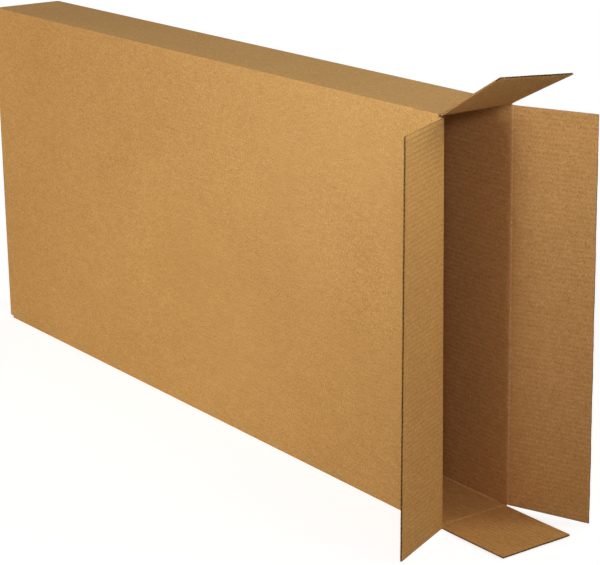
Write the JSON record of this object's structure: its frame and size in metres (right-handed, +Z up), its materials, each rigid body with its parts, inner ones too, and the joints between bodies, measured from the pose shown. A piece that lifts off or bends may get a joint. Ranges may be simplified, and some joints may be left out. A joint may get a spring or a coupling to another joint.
{
  "type": "tall shipping box",
  "caption": "Tall, narrow side-loading corrugated carton standing on its long edge, one end glued shut and the other open with hinged full-overlap flaps.",
  "frame": {"origin": "centre of the bottom panel's underside, midway along the closed length of the carton", "axes": "+X out of the open end, -Y out of the front panel, +Z up"},
  "size_m": [1.563, 0.3221, 0.7348],
  "materials": {
    "kraft_board": "plain unprinted kraft liner, matt, with the flutes showing faintly through it"
  },
  "bodies": {
    "carton": {"carton_body": "kraft_board"},
    "front_flap": {"front_flap": "kraft_board"},
    "back_flap": {"back_flap": "kraft_board"},
    "top_flap": {"top_flap": "kraft_board"},
    "bottom_flap": {"bottom_flap": "kraft_board"}
  },
  "joints": [
    {"name": "front_flap_crease", "type": "hinge", "parent": "carton", "child": "front_flap", "pos_m": [0.711, -0.073, 0.33], "axis": [0, 0, 1], "range_deg": [-112, 153]},
    {"name": "back_flap_crease", "type": "hinge", "parent": "carton", "child": "back_flap", "pos_m": [0.7067, 0.073, 0.33], "axis": [0, 0, -1], "range_deg": [-154, 111]},
    {"name": "top_flap_crease", "type": "hinge", "parent": "carton", "child": "top_flap", "pos_m": [0.7024, 0, 0.66], "axis": [0, 1, 0], "range_deg": [-145, 120]},
    {"name": "bottom_flap_crease", "type": "hinge", "parent": "carton", "child": "bottom_flap", "pos_m": [0.7024, 0, 0], "axis": [0, -1, 0], "range_deg": [0, 90]}
  ]
}
